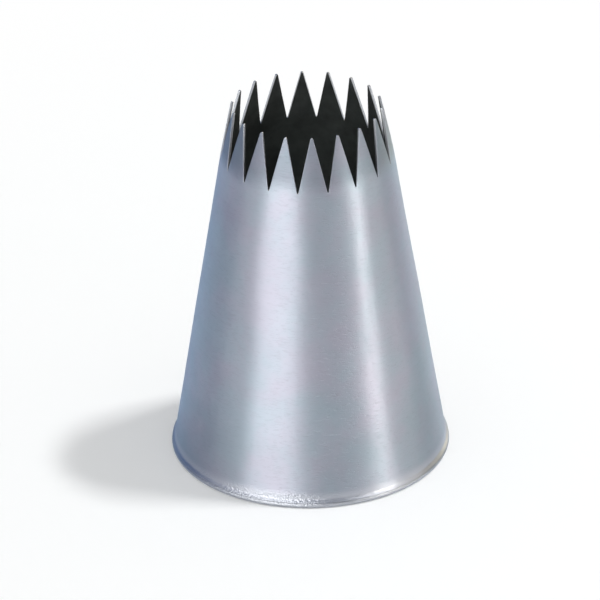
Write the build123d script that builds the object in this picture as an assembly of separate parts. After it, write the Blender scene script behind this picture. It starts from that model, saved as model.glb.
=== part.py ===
from build123d import *

import os
from math import cos, pi, radians, sin, tan

# Open-star piping nozzle: a cone of thin sheet metal with a crown of teeth cut into its
# narrow end, and a separate ring pressed into its wide end as the rim that it stands on.
# Sizes are in millimetres and angles in degrees.
# The nozzle stands with its teeth up. The origin is on the table, on the nozzle's axis.
# +Z runs along the axis towards the teeth, and +Y runs through the middle of one tooth.

# The whole nozzle
overall_height = 50.0
sheet_thickness = 0.35

# The cone, measured on its outside
foot_radius = 18.3  # where the cone's straight line would meet the table
cone_half_angle = 9.25

# The crown of teeth, bent in a little more steeply than the cone
tooth_count = 18
tooth_length = 7.3  # from the tips down to the roots of the notches
tooth_half_angle = 11.0
tooth_tip_width = 0.34
notch_root_width = 0.12
crown_bend_radius = 3.0

# The flare round the foot of the cone, just above the rim
flare_half_angle = 50.0
flare_knee_height = 1.05
flare_bend_radius = 0.5

# The rim: a ring of its own sheet, folded double under the cone and turned up inside it
rim_sheet_thickness = 0.35
rim_overhang = 0.04  # how far its fold stands out past the cone's lip
collar_height = 3.0
collar_bend_radius = 0.45
collar_lead_in = 0.12
joint_gap = 0.03  # from the ring to the cone's lip above it and wall round it

cut_overrun = 1.0

# What follows from those sizes
root_height = overall_height - tooth_length
rim_height = 2 * rim_sheet_thickness
lip_height = rim_height + joint_gap


def cone_radius(height):
    """Outside radius of the straight cone at a height above the table."""
    return foot_radius - height * tan(radians(cone_half_angle))


def level_depth(thickness, half_angle):
    """How far it is, level, through a sheet that leans in by a half angle."""
    return thickness / cos(radians(half_angle))


root_radius = cone_radius(root_height)
tip_radius = root_radius - tooth_length * tan(radians(tooth_half_angle))
knee_radius = cone_radius(flare_knee_height)
lip_radius = knee_radius + (flare_knee_height - lip_height) * tan(radians(flare_half_angle))
rim_radius = lip_radius + rim_overhang


def cone_section():
    """Half section of the cone's sheet, with level edges at the lip and at the tips."""
    spare = sheet_thickness + cut_overrun
    outside = FilletPolyline(
        (lip_radius + spare * tan(radians(flare_half_angle)), lip_height - spare),
        (knee_radius, flare_knee_height),
        (root_radius, root_height),
        (tip_radius - spare * tan(radians(tooth_half_angle)), overall_height + spare),
        radius=[flare_bend_radius, crown_bend_radius],
    )
    sheet = make_face(offset(outside, amount=sheet_thickness, side=Side.LEFT))
    length = overall_height - lip_height
    keep = Pos(0, lip_height + length / 2) * Rectangle(4 * rim_radius, length)
    return sheet & keep


def notch():
    """Cutter for one notch: a V with a blunt point, lying along +X from the axis outwards."""
    tooth_pitch = 2 * tip_radius * sin(pi / tooth_count)
    half_root = notch_root_width / 2
    half_mouth = (tooth_pitch - tooth_tip_width) / 2
    half_top = half_root + (half_mouth - half_root) * (tooth_length + cut_overrun) / tooth_length
    top = overall_height + cut_overrun
    outline = Polyline(
        (-half_root, root_height),
        (half_root, root_height),
        (half_top, top),
        (-half_top, top),
        close=True,
    )
    return extrude(Plane.YZ * make_face(outline), amount=root_radius + cut_overrun)


def nozzle_cone():
    """The cone with its crown of teeth, one of them centred on +Y."""
    blank = revolve(Plane.XZ * cone_section(), axis=Axis.Z)
    pitch = 360 / tooth_count
    first = 90 + pitch / 2
    crowned = blank - [Rot(Z=first + number * pitch) * notch() for number in range(tooth_count)]
    tips = crowned.faces().group_by(Axis.Z)[-1]
    if len(tips) != tooth_count:
        raise ValueError(f"the crown has {len(tips)} teeth and not {tooth_count}")
    return crowned


def base_rim():
    """The ring: a flange with a folded round edge, and a collar that lines the cone's foot."""
    outer_inset = level_depth(sheet_thickness + joint_gap, cone_half_angle)
    inner_inset = outer_inset + level_depth(rim_sheet_thickness, cone_half_angle)
    fold_centre = rim_radius - rim_sheet_thickness
    inner_foot = (cone_radius(0) - inner_inset, 0)
    outer_top = (cone_radius(collar_height) - outer_inset, collar_height)
    straight_sides = Polyline(
        (fold_centre, rim_height),
        (cone_radius(rim_height) - outer_inset, rim_height),
        outer_top,
        (cone_radius(collar_height) - inner_inset, collar_height),
        inner_foot,
        (fold_centre, 0),
    )
    fold = ThreePointArc((fold_centre, 0), (rim_radius, rim_sheet_thickness), (fold_centre, rim_height))
    section = make_face([straight_sides, fold])
    bend = section.vertices().sort_by_distance(inner_foot)[0]
    section = fillet(bend, radius=collar_bend_radius)
    lead_in = section.vertices().sort_by_distance(outer_top)[0]
    section = chamfer(lead_in, length=collar_lead_in)
    return revolve(Plane.XZ * section, axis=Axis.Z)


def main():
    """Writes a STEP file for each piece."""
    os.makedirs("parts", exist_ok=True)
    export_step(nozzle_cone(), "parts/nozzle_cone.step")
    export_step(base_rim(), "parts/base_rim.step")


main()
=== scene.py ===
"""Looks of an open star piping nozzle: a cone of satin steel sheet with a crown of teeth cut
into its narrow end, and the folded ring that it stands on.

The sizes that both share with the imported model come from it. Lengths are in metres, angles in
radians. The nozzle stands on the floor with its axis along +Z, and +Y runs through one tooth.
"""

import logging
from dataclasses import dataclass, field
from enum import Enum
from math import atan2, cos, pi, radians, sin, tan

import bpy
import numpy as np
from mathutils import Matrix, Vector


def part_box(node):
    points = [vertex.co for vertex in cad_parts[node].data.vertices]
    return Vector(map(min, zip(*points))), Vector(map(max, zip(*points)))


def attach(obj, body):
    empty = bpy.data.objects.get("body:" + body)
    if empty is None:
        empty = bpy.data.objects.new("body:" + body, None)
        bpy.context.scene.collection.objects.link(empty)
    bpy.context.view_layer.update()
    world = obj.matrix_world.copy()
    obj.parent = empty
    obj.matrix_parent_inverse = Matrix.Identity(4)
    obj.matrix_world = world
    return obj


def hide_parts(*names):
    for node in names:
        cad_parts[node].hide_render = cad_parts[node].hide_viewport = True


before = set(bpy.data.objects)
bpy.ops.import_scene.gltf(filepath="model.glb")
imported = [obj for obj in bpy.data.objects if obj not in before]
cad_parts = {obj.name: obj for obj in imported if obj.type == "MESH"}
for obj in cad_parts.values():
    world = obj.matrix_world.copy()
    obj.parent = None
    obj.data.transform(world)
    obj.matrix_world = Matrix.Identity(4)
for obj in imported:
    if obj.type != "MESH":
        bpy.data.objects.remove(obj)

MM = 0.001
Colour = tuple[float, float, float]
# Where something starts to set in, and where it is full.
Band = tuple[float, float]
Socket = bpy.types.NodeSocket
WHITE: Colour = (1.0, 1.0, 1.0)
EDGE_ATTRIBUTE = "edge_distance"
MASK_SOFTNESS = 0.08
QUARTER_TURN = 0.25
SAME_PLACE = 0.00001 * MM
ROW_DECIMALS = 8
# The sockets of a Mix node that carry its share, its two colours and its result.
MIX_SHARE, MIX_FIRST, MIX_SECOND, MIX_RESULT = 0, 6, 7, 2
log = logging.getLogger("nozzle")


class Zone(Enum):
    """The surfaces of the cone's sheet, in the order of its material slots."""

    OUTSIDE = 0
    INSIDE = 1
    CUT_EDGE = 2


class Ray(Enum):
    """The kinds of ray that the table and the backdrop tell apart, by their Light Path output."""

    CAMERA = "Is Camera Ray"
    GLOSSY = "Is Glossy Ray"
    TRANSMISSION = "Is Transmission Ray"


class Grain(Enum):
    """How much fine detail a noise has: its finer layers, and the weight of each on the last."""

    SMOOTH = (0.0, 0.5)
    SLIGHT = (1.0, 0.5)
    MIDDLING = (2.0, 0.5)
    BUNCHED = (2.0, 0.6)
    ROUGH = (3.0, 0.7)
    CLOUDY = (4.0, 0.6)


class Tree:
    """A node tree that is built with one short call a node."""

    def __init__(self, tree: bpy.types.NodeTree) -> None:
        """Takes over an empty node tree.

        Args:
            tree: The tree of a material, a world or a node group.
        """
        self.nodes = tree.nodes
        self.links = tree.links

    def feed(self, socket: Socket, value: object) -> None:
        """Links a socket into an input, or sets the input to a plain value.

        Args:
            socket: The input.
            value: A socket, a number, a vector or a colour.
        """
        if isinstance(value, Socket):
            self.links.new(value, socket)
        elif isinstance(value, tuple) and len(socket.default_value) == 4:
            socket.default_value = (*value, 1.0)
        else:
            socket.default_value = value

    def node(
        self, kind: str, inputs: dict[str | int, object] | None = None, **settings: object
    ) -> bpy.types.Node:
        """Adds a node.

        Args:
            kind: The node's type, without its ShaderNode prefix.
            inputs: What each named or numbered input gets.
            **settings: The node's own properties.

        Returns:
            The node.
        """
        made = self.nodes.new("ShaderNode" + kind)
        for name, value in settings.items():
            setattr(made, name, value)
        for name, value in (inputs or {}).items():
            self.feed(made.inputs[name], value)
        return made

    def maths(self, operation: str, *values: object) -> Socket:
        """Adds a Math node and returns its output."""
        return self.node("Math", dict(enumerate(values)), operation=operation).outputs[0]

    def vector_maths(self, operation: str, *values: object) -> Socket:
        """Adds a Vector Math node and returns its vector output."""
        return self.node("VectorMath", dict(enumerate(values)), operation=operation).outputs["Vector"]

    def measured(self, operation: str, *values: object) -> Socket:
        """Adds a Vector Math node and returns the number that it gives."""
        return self.node("VectorMath", dict(enumerate(values)), operation=operation).outputs["Value"]

    def shaded(self, colour: object, level: object) -> Socket:
        """Adds a colour times a level and returns it."""
        return self.node("VectorMath", {0: colour, "Scale": level}, operation="SCALE").outputs["Vector"]

    def smooth_step(self, value: object, low: object, high: object) -> Socket:
        """Adds a smooth ramp from 0 at low to 1 at high and returns it."""
        inputs = {"Value": value, "From Min": low, "From Max": high}
        return self.node("MapRange", inputs, interpolation_type="SMOOTHSTEP").outputs["Result"]

    def blend(self, share: object, first: object, second: object) -> Socket:
        """Adds a mix of two colours and returns it."""
        inputs = {MIX_SHARE: share, MIX_FIRST: first, MIX_SECOND: second}
        return self.node("Mix", inputs, data_type="RGBA").outputs[MIX_RESULT]

    def varied(self, noise: object, middle: float, spread: float) -> Socket:
        """Adds a value that a noise moves up and down by half a spread and returns it."""
        return self.maths("MULTIPLY_ADD", noise, spread, middle - spread / 2)

    def level_under(self, mask: object, level: float) -> Socket:
        """Adds a value that is 1 outside a mask and a level inside it and returns it."""
        return self.maths("MULTIPLY_ADD", mask, level - 1, 1.0)

    def highest(self, noise: object, reach: object) -> Socket:
        """Adds the mask of where a noise stands above 1 less a reach and returns it."""
        level = self.maths("SUBTRACT", 1.0, reach)
        return self.smooth_step(noise, level, self.maths("ADD", level, MASK_SOFTNESS))

    def noise(self, vector: object, grain: Grain) -> Socket:
        """Adds a noise of unit scale and returns its value."""
        inputs = dict(zip(("Detail", "Roughness"), grain.value), Vector=vector, Scale=1.0)
        return self.node("TexNoise", inputs).outputs["Fac"]

    def stretched(self, vector: object, across: object, along: object) -> Socket:
        """Divides a position by one length in X and Y and by another in Z and returns it."""
        grain = self.node("CombineXYZ", {"X": across, "Y": across, "Z": along}).outputs["Vector"]
        return self.vector_maths("DIVIDE", vector, grain)

    def bump(self, height: object, depth: float, below: Socket | None = None) -> Socket:
        """Adds relief on what lies below it, or on the bare surface.

        Args:
            height: The relief's height, from 0 to 1.
            depth: How high 1 stands.
            below: The normal of what lies below.

        Returns:
            The normal.
        """
        inputs = {"Strength": 1.0, "Distance": depth, "Height": height}
        if below:
            inputs["Normal"] = below
        return self.node("Bump", inputs).outputs["Normal"]


class EffectGroup:
    """A surface effect kept as a node group, built the first time that a material asks for it."""

    name: str
    inputs: dict[str, str]
    outputs: dict[str, str]

    def fill(self, tree: Tree, *given: Socket) -> tuple[Socket, ...]:
        """Builds the effect from the group's inputs and returns its outputs, each in their order."""
        raise NotImplementedError

    def place(self, tree: Tree, *values: object) -> list[Socket]:
        """Puts the effect into a material.

        Args:
            tree: The material's tree.
            *values: What the group's inputs get, in their order.

        Returns:
            The effect's outputs, in their order.
        """
        made = tree.node("Group", node_tree=self.group())
        for name, value in zip(self.inputs, values, strict=True):
            tree.feed(made.inputs[name], value)
        return list(made.outputs)

    def mask(self, tree: Tree, *values: object) -> Socket:
        """Puts an effect with one output into a material and returns that output."""
        (made,) = self.place(tree, *values)
        return made

    def group(self) -> bpy.types.NodeTree:
        """Finds the node group, and builds it if there is none yet.

        Returns:
            The node group.
        """
        known = bpy.data.node_groups.get(self.name)
        if known:
            return known
        made = bpy.data.node_groups.new(self.name, "ShaderNodeTree")
        for name, kind in self.inputs.items():
            made.interface.new_socket(name, in_out="INPUT", socket_type="NodeSocket" + kind)
        for name, kind in self.outputs.items():
            made.interface.new_socket(name, in_out="OUTPUT", socket_type="NodeSocket" + kind)
        tree = Tree(made)
        given, result = made.nodes.new("NodeGroupInput"), made.nodes.new("NodeGroupOutput")
        effect = self.fill(tree, *(given.outputs[name] for name in self.inputs))
        for name, value in zip(self.outputs, effect, strict=True):
            tree.feed(result.inputs[name], value)
        return made


class BrushLines(EffectGroup):
    """Fine lines round the axis, as a brush or belt leaves them on a turning cone.

    The lines are noise that is drawn out along X and Y and kept short along Z: a fine one for
    the single lines and a coarser one for their bunches.
    """

    name = "brush lines"
    inputs = {"Position": "Vector", "Line Width": "Float", "Line Length": "Float"}
    outputs = {"Lines": "Float", "Bunches": "Float"}
    bunch_share = 6.0

    def fill(self, tree: Tree, position: Socket, width: Socket, length: Socket) -> tuple[Socket, ...]:
        """Builds the two noises.

        Args:
            tree: The group's tree.
            position: Where a point is.
            width: How wide a line is.
            length: How long it is.

        Returns:
            The lines and their bunches.
        """
        bunch_width = tree.maths("MULTIPLY", width, self.bunch_share)
        lines = tree.noise(tree.stretched(position, length, width), Grain.ROUGH)
        bunches = tree.noise(tree.stretched(position, length, bunch_width), Grain.BUNCHED)
        return lines, bunches


class Scratches(EffectGroup):
    """Thin stray scratches at a slant, where a drawn-out noise crosses its middle value.

    A second, slow noise decides where scratches lie at all.
    """

    name = "scratches"
    inputs = {
        "Position": "Vector",
        "Length": "Float",
        "Spacing": "Float",
        "Slant": "Vector",
        "Cover": "Float",
    }
    outputs = {"Scratches": "Float"}
    middle = 0.5
    half_width_share = 0.012

    def fill(
        self,
        tree: Tree,
        position: Socket,
        length: Socket,
        spacing: Socket,
        slant: Socket,
        cover: Socket,
    ) -> tuple[Socket, ...]:
        """Builds the crossing lines and the patches that they lie in.

        Args:
            tree: The group's tree.
            position: Where a point is.
            length: How long a scratch is.
            spacing: How far apart scratches lie.
            slant: How far they are turned.
            cover: How much of the sheet has any.

        Returns:
            The mask of the scratches.
        """
        turn = {"Vector": position, "Rotation": slant}
        turned = tree.node("VectorRotate", turn, rotation_type="EULER_XYZ").outputs["Vector"]
        drawn_out = tree.noise(tree.stretched(turned, length, spacing), Grain.SLIGHT)
        crossing = tree.maths("ABSOLUTE", tree.maths("SUBTRACT", drawn_out, self.middle))
        line = tree.smooth_step(crossing, self.half_width_share, 0.0)
        patch = tree.noise(tree.stretched(turned, length, length), Grain.MIDDLING)
        return (tree.maths("MULTIPLY", line, tree.highest(patch, cover)),)


class Nicks(EffectGroup):
    """Short, shallow nicks along the brushing, where a drawn-out noise stands above a level."""

    name = "nicks"
    inputs = {"Position": "Vector", "Width": "Float", "Length": "Float", "Share": "Float"}
    outputs = {"Nicks": "Float"}

    def fill(
        self, tree: Tree, position: Socket, width: Socket, length: Socket, share: Socket
    ) -> tuple[Socket, ...]:
        """Builds the noise and cuts it off at the level that leaves the wanted share."""
        drawn_out = tree.noise(tree.stretched(position, length, width), Grain.SLIGHT)
        return (tree.highest(drawn_out, share),)


class Cloudiness(EffectGroup):
    """Slow, soft patches of haze, as handling and washing leave them."""

    name = "cloudiness"
    inputs = {"Position": "Vector", "Patch Size": "Float"}
    outputs = {"Haze": "Float"}
    clear_level, full_level = 0.3, 0.7

    def fill(self, tree: Tree, position: Socket, size: Socket) -> tuple[Socket, ...]:
        """Builds one noise at the size of the patches."""
        patches = tree.noise(tree.stretched(position, size, size), Grain.CLOUDY)
        return (tree.smooth_step(patches, self.clear_level, self.full_level),)


class EdgeWear(EffectGroup):
    """A rubbed band along the cut edges, broken up by noise.

    The mesh carries how far each of its points is from the nearest cut edge.
    """

    name = "edge wear"
    inputs = {"Position": "Vector", "Edge Distance": "Float", "Band Width": "Float"}
    outputs = {"Wear": "Float"}
    least_share = 0.2

    def fill(self, tree: Tree, position: Socket, edge: Socket, width: Socket) -> tuple[Socket, ...]:
        """Builds the band from the distance, with a ragged inner side.

        Args:
            tree: The group's tree.
            position: Where a point is.
            edge: How far it is from the nearest cut edge.
            width: How wide the band is.

        Returns:
            The mask of the wear.
        """
        ragged = tree.noise(tree.stretched(position, width, width), Grain.ROUGH)
        reach = tree.maths("MULTIPLY", tree.maths("ADD", ragged, self.least_share), width)
        return (tree.smooth_step(edge, reach, 0.0),)


class HeightBand(EffectGroup):
    """A soft mask that rises from 0 to 1 between two heights above the floor."""

    name = "height band"
    inputs = {"Position": "Vector", "Start": "Float", "End": "Float"}
    outputs = {"Share": "Float"}

    def fill(self, tree: Tree, position: Socket, start: Socket, end: Socket) -> tuple[Socket, ...]:
        """Builds the ramp over the position's Z."""
        height = tree.node("SeparateXYZ", {"Vector": position}).outputs["Z"]
        return (tree.smooth_step(height, start, end),)


BRUSH_LINES = BrushLines()
SCRATCHES = Scratches()
NICKS = Nicks()
CLOUDINESS = Cloudiness()
EDGE_WEAR = EdgeWear()
HEIGHT_BAND = HeightBand()


def new_material(name: str) -> tuple[bpy.types.Material, Tree]:
    """Makes an empty material.

    Args:
        name: The material's name.

    Returns:
        The material and its tree, with no nodes.
    """
    made = bpy.data.materials.new(name)
    made.use_nodes = True
    made.node_tree.nodes.clear()
    return made, Tree(made.node_tree)


def worn_edges(tree: Tree, position: Socket, width: float) -> Socket:
    """Adds the mask of the band that is worn along the cut edges and returns it."""
    edge = tree.node("Attribute", attribute_name=EDGE_ATTRIBUTE).outputs["Fac"]
    return EDGE_WEAR.mask(tree, position, edge, width)


@dataclass(frozen=True)
class SteelFinish:
    """What every finish of the steel has: a name, a colour and a roughness."""

    name: str
    colour: Colour
    roughness: float

    def inputs(self, tree: Tree, position: Socket) -> dict[str, object]:
        """Works out what the metal's inputs get.

        Args:
            tree: The material's tree.
            position: Where a point is.

        Returns:
            The value or the socket for each input, by its name.
        """
        raise NotImplementedError

    def material(self) -> bpy.types.Material:
        """Builds the finish.

        Returns:
            The material.
        """
        made, tree = new_material(self.name)
        inputs = self.inputs(tree, tree.node("TexCoord").outputs["Object"])
        metal = tree.node("BsdfPrincipled", {"Metallic": 1.0, **inputs})
        tree.node("OutputMaterial", {"Surface": metal.outputs["BSDF"]})
        return made


@dataclass(frozen=True)
class Marks:
    """What brushing and use leave on the steel's outside, and the band where shade is painted towards the
    foot, each as the output of its mask or noise.
    """

    lines: Socket
    bunches: Socket
    scratches: Socket
    # Where the nicks lie: they carry relief, and painted shade in their colour.
    nicks: Socket
    haze: Socket
    tint: Socket
    wear: Socket
    crown: Socket
    # Where shade is painted into the colour towards the foot.
    foot: Socket
    rubbed: Socket


@dataclass(frozen=True)
class SatinSteel(SteelFinish):
    """Stainless steel sheet, brushed round its axis and marked by use.

    The brushing is too fine to see line by line, so its gloss is stretched along the slope by
    the shader, and the lines that do show come from bump and from small changes in roughness.
    The sheet also has slow, shallow dents, stray scratches, short nicks and faint patches of a
    second colour. Its foot is rubbed, and knocked all over on one side. Its colour is darkened by
    painted shade in the nicks and towards the foot. Each band is the height at which its mask
    starts and the one at which it is full. The knocks set in by how far a point lies towards the
    knocked side.
    """

    second_colour: Colour
    worn_colour: Colour
    anisotropy: float
    edge_tint: Colour = (0.68, 0.82, 1.0)
    tint_size: float = 8.0 * MM
    line_width: float = 0.07 * MM
    line_length: float = 5.0 * MM
    line_depth: float = 0.0015 * MM
    line_contrast: float = 0.06
    line_roughness: float = 0.08
    haze_size: float = 9.0 * MM
    haze_roughness: float = 0.05
    scratch_families: tuple[tuple[float, float, tuple[float, float, float]], ...] = (
        (8.0 * MM, 0.8 * MM, (0.12, 0.07, 0.0)),
        (5.0 * MM, 1.1 * MM, (-0.5, 0.35, 0.0)),
    )
    scratch_cover: float = 0.42
    scratch_roughness: float = -0.08
    nick_width: float = 0.11 * MM
    nick_length: float = 0.9 * MM
    nick_share: float = 0.42
    nick_depth: float = 0.008 * MM
    # Painted shade: the factor by which the colour is darkened in the nicks.
    nick_painted_shade: float = 0.94
    dent_size: float = 10.0 * MM
    dent_depth: float = 0.18 * MM
    knock_size: float = 0.23 * MM
    knock_depth: float = 0.095 * MM
    knocked_side: tuple[float, float, float] = (-0.5, -0.87, 0.0)
    knocked_band: Band = (12.9 * MM, 17.4 * MM)
    rubbed_band: Band = (2.4 * MM, 1.2 * MM)
    rubbed_roughness: float = -0.04
    # Painted shade: the colour darkens between these two heights, towards the foot, by the factor below.
    painted_foot_shade_band: Band = (12.0 * MM, 6.0 * MM)
    painted_foot_shade: float = 1.0
    wear_width: float = 0.12 * MM
    crown_band: Band = (0.0, 1.0)
    crown_roughness: float = 0.0

    def inputs(self, tree: Tree, position: Socket) -> dict[str, object]:
        """Works out what the metal's inputs get, as every finish does."""
        marks = self.marks(tree, position)
        return {
            "Base Color": self.tone(tree, marks),
            "Roughness": self.gloss_roughness(tree, marks),
            "Specular Tint": self.edge_tint,
            "Anisotropic": self.anisotropy,
            "Anisotropic Rotation": QUARTER_TURN,
            "Normal": self.relief(tree, position, marks),
            "Tangent": tree.node("Tangent", direction_type="RADIAL", axis="Z").outputs["Tangent"],
        }

    def marks(self, tree: Tree, position: Socket) -> Marks:
        """Places every effect once.

        Args:
            tree: The material's tree.
            position: Where a point is.

        Returns:
            The effects' outputs.
        """
        lines, bunches = BRUSH_LINES.place(tree, position, self.line_width, self.line_length)
        families = [
            SCRATCHES.mask(tree, position, *family, self.scratch_cover) for family in self.scratch_families
        ]
        return Marks(
            lines=lines,
            bunches=bunches,
            scratches=tree.maths("MAXIMUM", *families),
            nicks=NICKS.mask(tree, position, self.nick_width, self.nick_length, self.nick_share),
            haze=CLOUDINESS.mask(tree, position, self.haze_size),
            tint=CLOUDINESS.mask(tree, position, self.tint_size),
            wear=worn_edges(tree, position, self.wear_width),
            crown=HEIGHT_BAND.mask(tree, position, *self.crown_band),
            foot=HEIGHT_BAND.mask(tree, position, *self.painted_foot_shade_band),
            rubbed=HEIGHT_BAND.mask(tree, position, *self.rubbed_band),
        )

    def tone(self, tree: Tree, marks: Marks) -> Socket:
        """Varies the steel's tone along its lines, darkens it with painted shade in its nicks and towards
        its foot, and lightens its worn places.

        Args:
            tree: The material's tree.
            marks: The effects' outputs.

        Returns:
            The base colour.
        """
        level = tree.varied(marks.bunches, 1.0, self.line_contrast)
        # Painted shade: the colour is darkened in the nicks and towards the foot.
        for mask, shade in ((marks.nicks, self.nick_painted_shade), (marks.foot, self.painted_foot_shade)):
            level = tree.maths("MULTIPLY", level, tree.level_under(mask, shade))
        patched = tree.blend(marks.tint, self.colour, self.second_colour)
        worn = tree.maths("MAXIMUM", marks.wear, marks.rubbed)
        return tree.blend(worn, tree.shaded(patched, level), self.worn_colour)

    def gloss_roughness(self, tree: Tree, marks: Marks) -> Socket:
        """Adds up the roughness of the lines, the haze, the crown, the foot and the scratches.

        Args:
            tree: The material's tree.
            marks: The effects' outputs.

        Returns:
            The roughness.
        """
        rough = tree.varied(marks.lines, self.roughness, self.line_roughness)
        changes = (
            (marks.haze, self.haze_roughness),
            (marks.crown, self.crown_roughness),
            (marks.rubbed, self.rubbed_roughness),
            (marks.scratches, self.scratch_roughness),
        )
        for mask, change in changes:
            rough = tree.maths("MULTIPLY_ADD", mask, change, rough)
        return rough

    def relief(self, tree: Tree, position: Socket, marks: Marks) -> Socket:
        """Works soft dents, lines, scratches, nicks and the foot's knocks into the surface.

        Args:
            tree: The material's tree.
            position: Where a point is.
            marks: The effects' outputs.

        Returns:
            The normal.
        """
        dents = tree.noise(tree.stretched(position, self.dent_size, self.dent_size), Grain.SMOOTH)
        knocks = tree.noise(tree.stretched(position, self.knock_size, self.knock_size), Grain.SLIGHT)
        facing = tree.measured("DOT_PRODUCT", position, self.knocked_side)
        knocked = tree.maths("MULTIPLY", marks.rubbed, tree.smooth_step(facing, *self.knocked_band))
        layers = (
            (dents, self.dent_depth),
            (marks.lines, self.line_depth),
            (tree.maths("SUBTRACT", 1.0, marks.scratches), self.line_depth),
            (tree.maths("SUBTRACT", 1.0, marks.nicks), self.nick_depth),
            (tree.maths("MULTIPLY", knocks, knocked), self.knock_depth),
        )
        normal = None
        for height, depth in layers:
            normal = tree.bump(height, depth, normal)
        return normal


@dataclass(frozen=True)
class ShadePaintedDrawnSteel(SteelFinish):
    """The inside of the sheet: dull from drawing, with faint lines round the axis, and its colour painted
    dark as the shade that lies inside the cone.
    """

    worn_colour: Colour
    wear_width: float = 0.1 * MM
    line_width: float = 0.25 * MM
    line_length: float = 14.0 * MM
    line_depth: float = 0.002 * MM
    line_roughness: float = 0.2
    stain_size: float = 5.0 * MM
    stain_shade: float = 0.6

    def inputs(self, tree: Tree, position: Socket) -> dict[str, object]:
        """Works out what the metal's inputs get.

        Args:
            tree: The material's tree.
            position: Where a point is.

        Returns:
            The value or the socket for each input, by its name.
        """
        lines, bunches = BRUSH_LINES.place(tree, position, self.line_width, self.line_length)
        stain = CLOUDINESS.mask(tree, position, self.stain_size)
        steel = tree.shaded(self.colour, tree.level_under(stain, self.stain_shade))
        wear = worn_edges(tree, position, self.wear_width)
        return {
            "Base Color": tree.blend(wear, steel, self.worn_colour),
            "Roughness": tree.varied(bunches, self.roughness, self.line_roughness),
            "Normal": tree.bump(lines, self.line_depth),
        }


@dataclass(frozen=True)
class CutSteel(SteelFinish):
    """The cut through the sheet's thickness: clean metal, with short marks left by the cutter."""

    mark_width: float = 0.05 * MM
    mark_length: float = 0.2 * MM
    mark_depth: float = 0.004 * MM
    mark_contrast: float = 0.3
    mark_roughness: float = 0.2

    def inputs(self, tree: Tree, position: Socket) -> dict[str, object]:
        """Works out what the metal's inputs get, as every finish does."""
        marks = tree.noise(tree.stretched(position, self.mark_width, self.mark_length), Grain.MIDDLING)
        return {
            "Base Color": tree.shaded(self.colour, tree.varied(marks, 1.0, self.mark_contrast)),
            "Roughness": tree.varied(marks, self.roughness, self.mark_roughness),
            "Normal": tree.bump(marks, self.mark_depth),
        }


def arc_round(
    before: np.ndarray, corner: np.ndarray, after: np.ndarray, radius: float, steps: int
) -> np.ndarray:
    """Points of the arc that rounds one corner of an outline.

    With a and b the unit directions into and out of the corner and t the turn between them, the
    arc starts R tan(t/2) before the corner. Its centre lies R to the side that the outline turns
    to, and its points are that centre plus the start's spoke turned by 0 to t.

    Args:
        before: The corner before, as radius and height.
        corner: The corner.
        after: The corner after.
        radius: The arc's radius R.
        steps: How many points the arc gets.

    Returns:
        The points, one a row.
    """
    into = (corner - before) / np.linalg.norm(corner - before)
    out = (after - corner) / np.linalg.norm(after - corner)
    turn = atan2(into[0] * out[1] - into[1] * out[0], into @ out)
    inwards = np.sign(turn) * np.array([-into[1], into[0]])
    centre = corner - radius * tan(abs(turn) / 2) * into + radius * inwards
    angles = np.linspace(0.0, turn, steps)[:, None]
    spoke = -radius * inwards
    across = np.array([-spoke[1], spoke[0]])
    return centre + np.cos(angles) * spoke + np.sin(angles) * across


def open_outline(corners: np.ndarray, radii: list[float], steps: int = 24) -> np.ndarray:
    """An open outline whose inner corners are rounded.

    Args:
        corners: The outline's corners, as radius and height.
        radii: The radius at each inner corner.
        steps: How many points each arc gets.

    Returns:
        The outline's points, one a row.
    """
    arcs = [arc_round(*corners[i : i + 3], radius, steps) for i, radius in enumerate(radii)]
    return np.concatenate([corners[:1], *arcs, corners[-1:]])


def closed_outline(corners: np.ndarray, radii: list[float], steps: int = 12) -> np.ndarray:
    """A closed outline with every corner rounded.

    Where one arc starts at the point at which the last one ends, that point is kept once.

    Args:
        corners: The outline's corners, as radius and height.
        radii: The radius at each corner.
        steps: How many points each arc gets.

    Returns:
        The outline's points, one a row, the first not repeated.
    """
    before, after = np.roll(corners, 1, axis=0), np.roll(corners, -1, axis=0)
    points = np.concatenate([arc_round(*spot, steps) for spot in zip(before, corners, after, radii)])
    stride = np.linalg.norm(points - np.roll(points, 1, axis=0), axis=1)
    return points[stride > SAME_PLACE]


def inset_corners(corners: np.ndarray, depth: float) -> np.ndarray:
    """Corners of the line that runs at a depth inside an outline.

    At a corner whose sides have the unit normals m and n, the inset corner is
    P - depth (m + n) / (1 + m.n), which lies at that depth from both sides.

    Args:
        corners: The outline's corners, as radius and height, from the bottom up.
        depth: How deep the line runs.

    Returns:
        The inset corners.
    """
    side = np.diff(corners, axis=0)
    side /= np.linalg.norm(side, axis=1)[:, None]
    normal = np.stack([side[:, 1], -side[:, 0]], axis=1)
    first, second = np.vstack([normal[:1], normal]), np.vstack([normal, normal[-1:]])
    share = 1 + np.sum(first * second, axis=1)[:, None]
    return corners - depth * (first + second) / share


def radius_at(outline: np.ndarray, heights: np.ndarray) -> np.ndarray:
    """Radius of an outline that rises all the way, read at each height."""
    return np.interp(heights, outline[:, 1], outline[:, 0])


def quads(first: np.ndarray, second: np.ndarray) -> np.ndarray:
    """Four-sided faces between two lines of points, or between two stacks of such lines.

    Args:
        first: The numbers of the first line's points, in the last dimension.
        second: The numbers of the second line's points.

    Returns:
        The faces, one a row: each joins two neighbours on the first line to those on the second.
    """
    corners = [first[..., :-1], first[..., 1:], second[..., 1:], second[..., :-1]]
    return np.stack(corners, axis=-1).reshape(-1, 4)


def mirrored(half: np.ndarray, sign: float = 1.0) -> np.ndarray:
    """Half a tooth's columns times a sign, then the same columns mirrored, the middle one once."""
    return np.concatenate([sign * half, half[:, -2::-1]], axis=1)


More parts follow.
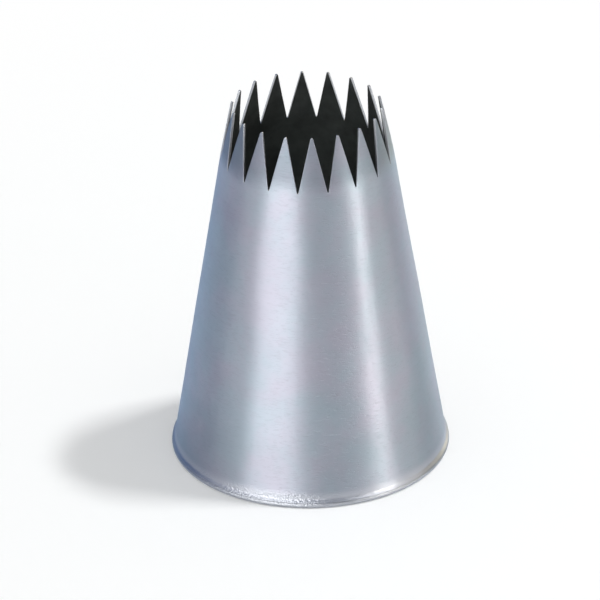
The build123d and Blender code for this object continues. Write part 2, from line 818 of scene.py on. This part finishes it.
def new_piece(
    name: str, points: np.ndarray, faces: np.ndarray, zones: np.ndarray, edge: np.ndarray
) -> bpy.types.Object:
    """Makes a piece from whole arrays, and leaves out the points that no face uses.

    Args:
        name: The piece's name.
        points: Its points, one a row.
        faces: Its four-sided faces, as indices of points.
        zones: Each face's material slot.
        edge: How far each point is from the nearest cut edge.

    Returns:
        The object, at the origin.
    """
    used, faces = np.unique(faces, return_inverse=True)
    faces = faces.reshape(-1, 4)
    mesh = bpy.data.meshes.new(name)
    mesh.from_pydata(points[used], [], faces)
    mesh.polygons.foreach_set("material_index", zones.astype(np.int32))
    mesh.polygons.foreach_set("use_smooth", np.ones(len(faces), bool))
    distance = mesh.attributes.new(EDGE_ATTRIBUTE, "FLOAT", "POINT")
    distance.data.foreach_set("value", edge[used].astype(np.float32))
    mesh.update()
    made = bpy.data.objects.new(name, mesh)
    bpy.context.scene.collection.objects.link(made)
    return made


@dataclass
class Handwork:
    """The small unevenness of a pressed and cut sheet, the same on every run."""

    seed: int = 7
    waves: int = 9
    wave_height: float = 0.006 * MM
    slowest_wave: int = 2
    fastest_wave: int = 11
    wave_length: float = 22.0 * MM
    rate_shares: Band = (0.5, 1.5)
    lean: float = 0.035 * MM
    twist: float = 0.02 * MM
    shortfall: float = 0.05 * MM

    def __post_init__(self) -> None:
        """Draws the waves."""
        draw = np.random.default_rng(self.seed)
        self.round_count = draw.integers(self.slowest_wave, self.fastest_wave, self.waves)
        self.round_phase = draw.uniform(0, 2 * pi, self.waves)
        self.rise_phase = draw.uniform(0, 2 * pi, self.waves)
        self.rise_rate = draw.uniform(*self.rate_shares, self.waves) * 2 * pi / self.wave_length
        self.draw = draw

    def ripple(self, angle: np.ndarray, height: np.ndarray) -> np.ndarray:
        """How far the sheet stands out: a sum of sine waves round it, each swelling with height.

        Args:
            angle: Angles round the axis.
            height: Heights above the floor.

        Returns:
            The distance at each place.
        """
        around = np.sin(self.round_count * angle[..., None] + self.round_phase)
        upwards = np.sin(self.rise_rate * height[..., None] + self.rise_phase)
        return self.wave_height * np.sum(around * upwards, axis=-1)

    def tooth_errors(self, count: int) -> tuple[np.ndarray, np.ndarray, np.ndarray]:
        """How far each tooth's tip is out of place.

        Args:
            count: The number of teeth.

        Returns:
            The distances outwards, sideways and downwards, the last at least zero.
        """
        out = self.draw.uniform(-self.lean, self.lean, count)
        aside = self.draw.uniform(-self.twist, self.twist, count)
        short = self.draw.uniform(0, self.shortfall, count)
        return out, aside, short - short.min()


@dataclass
class NozzleCone:
    """The cone's sheet, with its flared foot, its crown of teeth and the rounded cut edges."""

    lip_height: float
    height: float
    foot_radius: float = 18.3 * MM
    half_angle: float = radians(9.25)
    sheet: float = 0.35 * MM
    tooth_count: int = 18
    tooth_length: float = 7.3 * MM
    tooth_half_angle: float = radians(11.0)
    tip_width: float = 0.34 * MM
    tip_corner: float = 0.1 * MM
    root_width: float = 0.12 * MM
    crown_bend: float = 3.0 * MM
    flare_half_angle: float = radians(50.0)
    knee_height: float = 1.05 * MM
    knee_bend: float = 0.5 * MM
    edge_radius: float = 0.05 * MM
    root_margin: float = 0.15 * MM
    dulled_below: float = 0.8 * MM
    dulled_above: float = 2.4 * MM
    handwork: Handwork = field(default_factory=Handwork)

    # The mesh's columns and rows next to an edge, as shares of its radius, and those of a tip's
    # corner, as shares of the corner's radius.
    edge_shares = np.array([0.0, 0.134, 0.5, 1.0, 1.8])
    corner_shares = np.array([1.0, 0.7, 0.5, 0.3, 0.15])
    edge_room_share = 0.8
    middle_columns = 6
    root_rows, flare_rows, wall_rows, tooth_rows = 6, 18, 30, 22

    @classmethod
    def from_frame(cls, node: str) -> "NozzleCone":
        """Takes the lip's and the tips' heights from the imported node."""
        low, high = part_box(node)
        return cls(lip_height=low.z, height=high.z)

    @property
    def root_height(self) -> float:
        """Height of the notches' roots."""
        return self.height - self.tooth_length

    def cone_radius(self, height: float) -> float:
        """Outside radius of the straight cone at a height."""
        return self.foot_radius - height * tan(self.half_angle)

    @property
    def tip_radius(self) -> float:
        """Outside radius at the tips."""
        return self.cone_radius(self.root_height) - self.tooth_length * tan(self.tooth_half_angle)

    def sections(self) -> tuple[np.ndarray, np.ndarray]:
        """The outer and the inner outline of the sheet, both longer than the sheet at each end.

        Returns:
            The two outlines, as radius and height, from the bottom up.
        """
        spare = self.sheet * 2
        foot, top = self.lip_height - spare, self.height + spare
        knee_radius = self.cone_radius(self.knee_height)
        corners = np.array(
            [
                (knee_radius + (self.knee_height - foot) * tan(self.flare_half_angle), foot),
                (knee_radius, self.knee_height),
                (self.cone_radius(self.root_height), self.root_height),
                (self.tip_radius - spare * tan(self.tooth_half_angle), top),
            ]
        )
        inner_bends = [self.knee_bend + self.sheet, self.crown_bend - self.sheet]
        outer = open_outline(corners, [self.knee_bend, self.crown_bend])
        inner = open_outline(inset_corners(corners, self.sheet), inner_bends)
        return outer, inner

    def rows(self) -> np.ndarray:
        """Heights of the mesh's rows, close together wherever the sheet bends or ends.

        The coarser rows keep the root's margin clear of the notches' roots.

        Returns:
            The heights, rising.
        """
        edge = self.edge_radius * self.edge_shares
        bottom = self.root_width / 2 * (1 - np.cos(np.linspace(0, pi / 2, self.root_rows)))
        bend_reach = self.knee_bend * tan((self.flare_half_angle - self.half_angle) / 2)
        flare_top = self.knee_height + bend_reach
        root_below, root_above = self.root_height - self.root_margin, self.root_height + self.root_margin
        rows = np.concatenate(
            [
                self.lip_height + edge,
                np.linspace(self.lip_height + 3 * self.edge_radius, flare_top, self.flare_rows),
                np.linspace(flare_top, root_below, self.wall_rows),
                self.root_height - edge,
                self.root_height + bottom,
                np.linspace(root_above, self.height - 2 * self.tip_corner, self.tooth_rows),
                self.height - self.tip_corner * self.corner_shares,
                self.height - edge,
            ]
        )
        return np.unique(np.round(rows, ROW_DECIMALS))

    def notch_half_width(self, rows: np.ndarray) -> np.ndarray:
        """Half the notch's width at each height: zero below its root, then a V.

        The V opens in a straight line from half the root's width. Its bottom is rounded by the
        factor sqrt(1 - (1 - s)^2), with s the rise over half the root's width, up to 1. At the
        tips it widens by what a round corner takes off them.

        Args:
            rows: Heights.

        Returns:
            The half width at each.
        """
        half_root = self.root_width / 2
        half_mouth = self.tip_radius * sin(pi / self.tooth_count) - self.tip_width / 2
        rise = np.clip(rows - self.root_height, 0, None)
        straight = half_root + (half_mouth - half_root) * rise / self.tooth_length
        share = np.clip(rise / half_root, 0, 1)
        short = np.clip(self.tip_corner - (self.height - rows), 0, None)
        corner = self.tip_corner - np.sqrt(self.tip_corner**2 - short**2)
        return straight * np.sqrt(1 - (1 - share) ** 2) + corner

    def face_grid(self, radius: np.ndarray, inwards: float) -> tuple[np.ndarray, np.ndarray, np.ndarray]:
        """One tooth's face from the foot to the tip, with its cut edges rounded.

        A column near the notch lies at angle asin((h + e) / r) from the notch's middle, with h
        the notch's half width and e the column's distance from the edge. The others share out
        what is left up to the tooth's middle. Next to an edge the face is sunk by
        q (1 - sqrt(1 - a^2 - b^2)), with q the edges' radius and a and b the share of it by
        which the point is short of the side's and of the end's rounding.

        Args:
            radius: The face's radius at each row.
            inwards: 1 where sinking makes the radius smaller, and -1 where it makes it larger.

        Returns:
            The angle from the tooth's middle, the radius, and the distance from the nearest edge.
        """
        rows = self.rows()[:, None]
        half_pitch = pi / self.tooth_count
        notch = self.notch_half_width(rows)
        tooth = radius[:, None] * sin(half_pitch) - notch
        widest = self.edge_radius * self.edge_shares[-1]
        room = np.clip(self.edge_room_share * tooth / widest, 0, 1) * self.edge_radius
        near = np.arcsin((notch + room * self.edge_shares) / radius[:, None])
        shares = np.linspace(0, 1, self.middle_columns + 1)[1:]
        far = near[:, -1:] + (half_pitch - near[:, -1:]) * shares
        from_notch = np.concatenate([near, far], axis=1)
        below = np.clip(self.root_height - rows, 0, None)
        side = np.hypot(radius[:, None] * np.sin(from_notch) - notch, below)
        end = np.minimum(self.height - rows, rows - self.lip_height)
        side_share = np.clip(1 - side / room, 0, 1)
        end_share = np.clip(1 - end / room, 0, 1)
        sunk = room * (1 - np.sqrt(np.clip(1 - side_share**2 - end_share**2, 0, 1)))
        angle = mirrored(half_pitch - from_notch, -1.0)
        return angle, radius[:, None] - inwards * mirrored(sunk), mirrored(np.minimum(side, end))

    def spread(
        self, angle: np.ndarray, radius: np.ndarray, errors: tuple[np.ndarray, ...]
    ) -> np.ndarray:
        """Sets one tooth's face round the axis once for each tooth, with that tooth's errors.

        The errors grow with the square of the share s of the tooth's length. A point lies at
        angle c + a + aside s^2 / r, radius r + out s^2 + ripple, and height z - short s^2. The
        ripple sets in between two and three times the knee's height.

        Args:
            angle: The angle a of each point from its tooth's middle.
            radius: Its radius r.
            errors: How far each tooth's tip is outwards, sideways and downwards.

        Returns:
            The points, by tooth, row and column.
        """
        rows = self.rows()[:, None]
        share = np.clip((rows - self.root_height) / self.tooth_length, 0, 1) ** 2
        centres = pi / 2 + np.arange(self.tooth_count) * 2 * pi / self.tooth_count
        out, aside, short = (error[:, None, None] * share for error in errors)
        around = centres[:, None, None] + angle + aside / radius
        height = rows - short + np.zeros_like(angle)
        settle = np.clip((height - self.knee_height * 2) / self.knee_height, 0, 1)
        reach = radius + out + settle * self.handwork.ripple(around, height)
        return np.stack([reach * np.cos(around), reach * np.sin(around), height], axis=-1)

    def faces(self, row_count: int, columns: int, root: int) -> tuple[np.ndarray, np.ndarray]:
        """Faces of the two sides, the teeth's cut sides, the tips and the lip.

        Points are numbered by side (outer, then inner), tooth, row and column. Up to the root a
        tooth's last column is its neighbour's first.

        Args:
            row_count: How many rows there are.
            columns: How many columns a tooth has.
            root: The row of the notches' roots.

        Returns:
            The faces, and the zone of each.
        """
        ids = np.arange(2 * self.tooth_count * row_count * columns)
        ids = ids.reshape(2, self.tooth_count, row_count, columns)
        ids[:, :, : root + 1, -1] = np.roll(ids[:, :, : root + 1, 0], -1, axis=1)
        outer, inner = ids
        parts = [
            (quads(outer[:, :-1], outer[:, 1:]), Zone.OUTSIDE),
            (quads(inner[:, 1:], inner[:, :-1]), Zone.INSIDE),
            (quads(outer[:, root:, 0], inner[:, root:, 0]), Zone.CUT_EDGE),
            (quads(inner[:, root:, -1], outer[:, root:, -1]), Zone.CUT_EDGE),
            (quads(outer[:, -1], inner[:, -1]), Zone.CUT_EDGE),
            (quads(inner[:, 0], outer[:, 0]), Zone.CUT_EDGE),
        ]
        faces = np.concatenate([part for part, _ in parts])
        zones = np.concatenate([np.full(len(part), zone.value) for part, zone in parts])
        return faces, zones

    def build(self) -> bpy.types.Object:
        """Makes the cone's mesh.

        Returns:
            The piece.
        """
        rows = self.rows()
        errors = self.handwork.tooth_errors(self.tooth_count)
        points, reaches = [], []
        for outline, inwards in zip(self.sections(), (1.0, -1.0)):
            angle, radius, reach = self.face_grid(radius_at(outline, rows), inwards)
            points.append(self.spread(angle, radius, errors))
            reaches.append(np.broadcast_to(reach, points[-1].shape[:3]))
        root = int(np.argmin(np.abs(rows - self.root_height)))
        faces, zones = self.faces(len(rows), points[0].shape[2], root)
        return new_piece(
            "brushed_cone", np.stack(points).reshape(-1, 3), faces, zones, np.stack(reaches).reshape(-1)
        )

    def dress(self, piece: bpy.types.Object) -> None:
        """Gives the outside, the inside and the cut edges their finishes.

        The outside turns duller round the notches' roots, and stays so up to the tips. Shade is painted
        into the outside's colour towards the foot, and the inside's colour is painted dark as the shade
        within the cone.

        Args:
            piece: The cone.
        """
        outside = SatinSteel(
            "brushed steel",
            colour=(0.456, 0.455, 0.53),
            second_colour=(0.411, 0.477, 0.536),
            worn_colour=(0.52, 0.54, 0.59),
            roughness=0.42,
            anisotropy=0.9,
            crown_band=(self.root_height - self.dulled_below, self.root_height + self.dulled_above),
            crown_roughness=0.22,
            # Painted shade: the outside's colour is darker towards the foot.
            painted_foot_shade=0.95,
        )
        inside = ShadePaintedDrawnSteel(
            "drawn steel painted dark as shade",
            # Painted shade: the inside's colour is dark to stand in for the shade within the cone.
            colour=(0.19, 0.21, 0.205),
            roughness=0.5,
            worn_colour=(0.3, 0.31, 0.32),
        )
        cut = CutSteel("cut steel", colour=(0.42, 0.44, 0.47), roughness=0.3)
        for finish in (outside, inside, cut):
            piece.data.materials.append(finish.material())


@dataclass
class BaseRim:
    """The ring: a flange folded double under the cone's lip, and a collar turned up inside it."""

    radius: float
    collar_height: float
    cone: NozzleCone
    sheet: float = 0.35 * MM
    gap: float = 0.03 * MM
    collar_bend: float = 0.45 * MM
    inner_corner: float = 0.05 * MM
    lead_in: float = 0.1 * MM
    segments: int = 540

    @classmethod
    def from_frame(cls, node: str, cone: NozzleCone) -> "BaseRim":
        """Takes the ring's radius and the collar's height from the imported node."""
        low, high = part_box(node)
        return cls(radius=min(high.x, high.y, -low.x, -low.y), collar_height=high.z, cone=cone)

    def outline(self) -> np.ndarray:
        """The ring's section: a fold as a half circle, the flange, the collar and their bends.

        Returns:
            The outline's points, as radius and height, anticlockwise.
        """
        outer_inset = (self.cone.sheet + self.gap) / cos(self.cone.half_angle)
        inner_inset = outer_inset + self.sheet / cos(self.cone.half_angle)
        fold = 2 * self.sheet
        corners = np.array(
            [
                (self.radius, 0.0),
                (self.radius, fold),
                (self.cone.cone_radius(fold) - outer_inset, fold),
                (self.cone.cone_radius(self.collar_height) - outer_inset, self.collar_height),
                (self.cone.cone_radius(self.collar_height) - inner_inset, self.collar_height),
                (self.cone.cone_radius(0.0) - inner_inset, 0.0),
            ]
        )
        radii = [
            self.sheet,
            self.sheet,
            self.inner_corner,
            self.lead_in,
            self.inner_corner,
            self.collar_bend,
        ]
        return closed_outline(corners, radii)

    def build(self) -> bpy.types.Object:
        """Carries the section round the axis.

        Returns:
            The piece.
        """
        outline = self.outline()
        angle = np.arange(self.segments)[:, None] * 2 * pi / self.segments
        radius, height = outline[:, 0], outline[:, 1]
        points = np.stack(
            [radius * np.cos(angle), radius * np.sin(angle), height + np.zeros_like(angle)], axis=-1
        )
        ids = np.arange(self.segments * len(outline)).reshape(self.segments, -1)
        along, around = np.roll(ids, -1, axis=1), np.roll(ids, -1, axis=0)
        faces = np.stack([ids, around, np.roll(around, -1, axis=1), along], axis=-1).reshape(-1, 4)
        fold_distance = np.hypot(radius - self.radius, height - self.sheet)
        edge = np.broadcast_to(fold_distance, points.shape[:2]).reshape(-1)
        return new_piece("folded_rim", points.reshape(-1, 3), faces, np.zeros(len(faces)), edge)

    def dress(self, piece: bpy.types.Object) -> None:
        """Gives the ring its finish, rubbed brighter along the fold.

        Args:
            piece: The ring.
        """
        finish = SatinSteel(
            "rubbed rim steel",
            colour=(0.36, 0.39, 0.44),
            second_colour=(0.37, 0.41, 0.44),
            worn_colour=(0.46, 0.48, 0.52),
            roughness=0.42,
            anisotropy=0.6,
            wear_width=0.3 * MM,
            haze_size=4.0 * MM,
            haze_roughness=0.1,
        )
        piece.data.materials.append(finish.material())


@dataclass
class PhotoCamera:
    """The camera, as far round and as far off as the photograph was taken from."""

    distance: float = 766.45 * MM
    elevation: float = radians(28.2375)
    azimuth: float = radians(-3.438)
    aim_height: float = 25.0 * MM
    pan: float = -0.001543
    tilt: float = -0.004467
    roll: float = radians(-0.714)
    lens: float = 348.53
    sensor: float = 36.0
    nearest: float = 0.01
    furthest: float = 20.0

    def build(self) -> None:
        """Makes the camera, looking along the aim turned by the small pan, tilt and roll."""
        turn = Matrix.Rotation(self.azimuth, 3, "Z")
        back, up = self.distance * cos(self.elevation), self.distance * sin(self.elevation)
        place = Vector((0, -back, self.aim_height + up))
        ahead = Vector((0, cos(self.elevation), -sin(self.elevation)))
        across = Vector((1, 0, 0))
        ahead = (ahead + self.pan * across + self.tilt * across.cross(ahead)).normalized()
        across = ahead.cross(Vector((0, 0, 1))).normalized()
        level = Matrix((across, across.cross(ahead), -ahead)).transposed()
        data = bpy.data.cameras.new("photo_camera")
        data.lens, data.sensor_width = self.lens, self.sensor
        data.clip_start, data.clip_end = self.nearest, self.furthest
        camera = bpy.data.objects.new("photo_camera", data)
        turned = turn @ level @ Matrix.Rotation(self.roll, 3, "Z")
        camera.matrix_world = Matrix.Translation(turn @ place) @ turned.to_4x4()
        bpy.context.scene.collection.objects.link(camera)
        bpy.context.scene.camera = camera


@dataclass(frozen=True)
class Softbox:
    """An area lamp that faces the nozzle, placed by its direction from it.

    The softboxes show in the steel alone, and the lamp for the table lights nothing else.
    """

    name: str
    azimuth: float
    elevation: float
    width: float
    height: float
    radiance: float
    colour: Colour = WHITE
    lights_table: bool = False
    distance: float = 0.9

    def build(self, turn: float, target: Vector) -> None:
        """Makes the lamp.

        Args:
            turn: How far the photograph's front is turned from -Y.
            target: The point that the lamp faces.
        """
        round_to = turn + self.azimuth
        level = cos(self.elevation)
        back = Vector((sin(round_to) * level, -cos(round_to) * level, sin(self.elevation)))
        data = bpy.data.lights.new(self.name, "AREA")
        data.shape, data.size, data.size_y = "RECTANGLE", self.width, self.height
        data.energy = self.radiance * pi * self.width * self.height
        data.color = self.colour
        lamp = bpy.data.objects.new(self.name, data)
        facing = back.to_track_quat("Z", "Y").to_matrix().to_4x4()
        lamp.matrix_world = Matrix.Translation(target + back * self.distance) @ facing
        lamp.visible_camera = False
        lamp.visible_diffuse = self.lights_table
        lamp.visible_glossy = not self.lights_table
        bpy.context.scene.collection.objects.link(lamp)


@dataclass
class Studio:
    """A pale table, a white backdrop, softboxes that only the steel sees, and a lamp high on the right.

    In the steel the backdrop is a dim room. Where it turns from one wall to the next is given
    by the directions along one axis at which the turn starts and ends.
    """

    turn: float
    target: Vector
    floor_size: float = 6.0
    floor_drop: float = 0.02 * MM
    floor_colour: Colour = (0.86, 0.87, 0.87)
    floor_lift: float = 0.14
    shade_radius: float = 70.0 * MM
    white_radius: float = 160.0 * MM
    fill: float = 0.6
    front_room: Colour = (0.53, 0.53, 0.55)
    left_room: Colour = (0.03, 0.08, 0.25)
    left_corner: Colour = (0.16, 0.25, 0.43)
    right_room: Colour = (0.1, 0.09, 0.07)
    ceiling: Colour = (0.28, 0.31, 0.37)
    left_along_x: Band = (0.3, -0.3)
    corner_along_y: Band = (0.3, 0.7)
    front_along_y: Band = (0.2, -0.9)
    ceiling_along_z: Band = (0.35, 0.85)
    window_along_y: Band = (0.97, 0.995)

    def rays(self, tree: Tree) -> tuple[Socket, ...]:
        """Adds the masks of the kinds of ray and returns them in their order."""
        path = tree.node("LightPath")
        return tuple(path.outputs[ray.value] for ray in Ray)

    def build_floor(self) -> None:
        """Makes the table: plain and pale near the nozzle, and as white as the backdrop further off."""
        half = self.floor_size / 2
        quarters = ((-half, -half), (half, -half), (half, half), (-half, half))
        mesh = bpy.data.meshes.new("table")
        mesh.from_pydata([(x, y, -self.floor_drop) for x, y in quarters], [], [(0, 1, 2, 3)])
        floor = bpy.data.objects.new("table", mesh)
        bpy.context.scene.collection.objects.link(floor)
        made, tree = new_material("pale table")
        away = tree.measured("LENGTH", tree.node("TexCoord").outputs["Object"])
        far = tree.smooth_step(away, self.shade_radius, self.white_radius)
        camera, glossy, through = self.rays(tree)
        shown = tree.maths("MAXIMUM", tree.maths("MAXIMUM", camera, glossy), through)
        matt = tree.node("BsdfDiffuse", {"Color": self.floor_colour}).outputs[0]
        lift, white = (
            tree.node("Emission", {"Color": WHITE, "Strength": strength}).outputs[0]
            for strength in (tree.maths("MULTIPLY", shown, self.floor_lift), 1.0)
        )
        near = tree.node("AddShader", {0: matt, 1: lift}).outputs[0]
        mixed = tree.node("MixShader", {0: tree.maths("MULTIPLY", far, shown), 1: near, 2: white})
        tree.node("OutputMaterial", {"Surface": mixed.outputs[0]})
        mesh.materials.append(made)

    def room(self, tree: Tree) -> Socket:
        """Colours the room by direction: its sides, its front, its ceiling and the window behind.

        Args:
            tree: The world's tree.

        Returns:
            The colour that the steel sees.
        """
        turn = {"Vector": tree.node("TexCoord").outputs["Generated"], "Angle": -self.turn}
        turned = tree.node("VectorRotate", turn, rotation_type="Z_AXIS").outputs["Vector"]
        x, y, z = tree.node("SeparateXYZ", {"Vector": turned}).outputs
        left = tree.blend(tree.smooth_step(y, *self.corner_along_y), self.left_room, self.left_corner)
        sides = tree.blend(tree.smooth_step(x, *self.left_along_x), self.right_room, left)
        walls = tree.blend(tree.smooth_step(y, *self.front_along_y), sides, self.front_room)
        room = tree.blend(tree.smooth_step(z, *self.ceiling_along_z), walls, self.ceiling)
        return tree.blend(tree.smooth_step(y, *self.window_along_y), room, WHITE)

    def build_world(self) -> None:
        """Makes the backdrop: white to the camera, a soft room in the steel, and an even fill."""
        world = bpy.data.worlds.new("studio")
        bpy.context.scene.world = world
        world.use_nodes = True
        world.node_tree.nodes.clear()
        tree = Tree(world.node_tree)
        fill, steel, white = (
            tree.node("Background", {"Color": colour, "Strength": strength}).outputs[0]
            for colour, strength in ((WHITE, self.fill), (self.room(tree), 1.0), (WHITE, 1.0))
        )
        camera, glossy, through = self.rays(tree)
        inner = tree.node("MixShader", {0: glossy, 1: fill, 2: steel}).outputs[0]
        direct = tree.maths("MAXIMUM", camera, through)
        outer = tree.node("MixShader", {0: direct, 1: inner, 2: white}).outputs[0]
        tree.node("OutputWorld", {"Surface": outer})

    def build_lamps(self) -> None:
        """Hangs the softboxes round the nozzle and above it, and the lamp that casts the shadow.

        Each has its azimuth and elevation, its width and height, its radiance and its colour.
        """
        lamps = (
            Softbox("wide_softbox", radians(-33.5), radians(30), 0.7, 0.9, 3.3, (1.0, 0.985, 0.95)),
            Softbox("left_softbox", radians(-75), radians(30), 0.4, 0.9, 0.6, (1.0, 0.95, 0.88)),
            Softbox("strip_softbox", radians(63), radians(20.5), 0.2, 0.6, 6.7, (1.0, 0.95, 0.87)),
            Softbox("right_softbox", radians(94), radians(30), 0.3, 0.9, 1.2, (1.0, 0.94, 0.85)),
            Softbox("rear_softbox", radians(146), radians(24), 0.4, 0.7, 2.1, (1.0, 0.87, 0.64)),
            Softbox("top_softbox", radians(84), radians(62), 0.6, 0.06, 9.0, (1.0, 0.97, 0.92)),
            Softbox("high_lamp", radians(100), radians(64.5), 0.12, 0.06, 165.0, lights_table=True),
        )
        for lamp in lamps:
            lamp.build(self.turn, self.target)

    def build(self) -> None:
        """Makes the whole studio and sets how colours are shown."""
        self.build_floor()
        self.build_world()
        self.build_lamps()
        bpy.context.scene.view_settings.view_transform = "Standard"


def finish_piece(piece: bpy.types.Object, node: str) -> None:
    """Sets a piece on the nozzle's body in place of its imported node, and reports it.

    Args:
        piece: The piece, at the origin.
        node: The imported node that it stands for.
    """
    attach(piece, "root")
    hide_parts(node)
    triangles = sum(len(polygon.vertices) - 2 for polygon in piece.data.polygons)
    log.info("%s stands for %s: %d triangles", piece.name, node, triangles)


def main() -> None:
    """Builds the nozzle, the camera and the studio."""
    logging.basicConfig(level=logging.INFO, format="%(message)s")
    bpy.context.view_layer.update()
    camera = PhotoCamera()
    camera.build()
    cone = NozzleCone.from_frame("nozzle_cone")
    cone_piece = cone.build()
    cone.dress(cone_piece)
    finish_piece(cone_piece, "nozzle_cone")
    rim = BaseRim.from_frame("base_rim", cone)
    rim_piece = rim.build()
    rim.dress(rim_piece)
    finish_piece(rim_piece, "base_rim")
    Studio(turn=camera.azimuth, target=Vector((0, 0, camera.aim_height))).build()


if __name__ == "__main__":
    main()
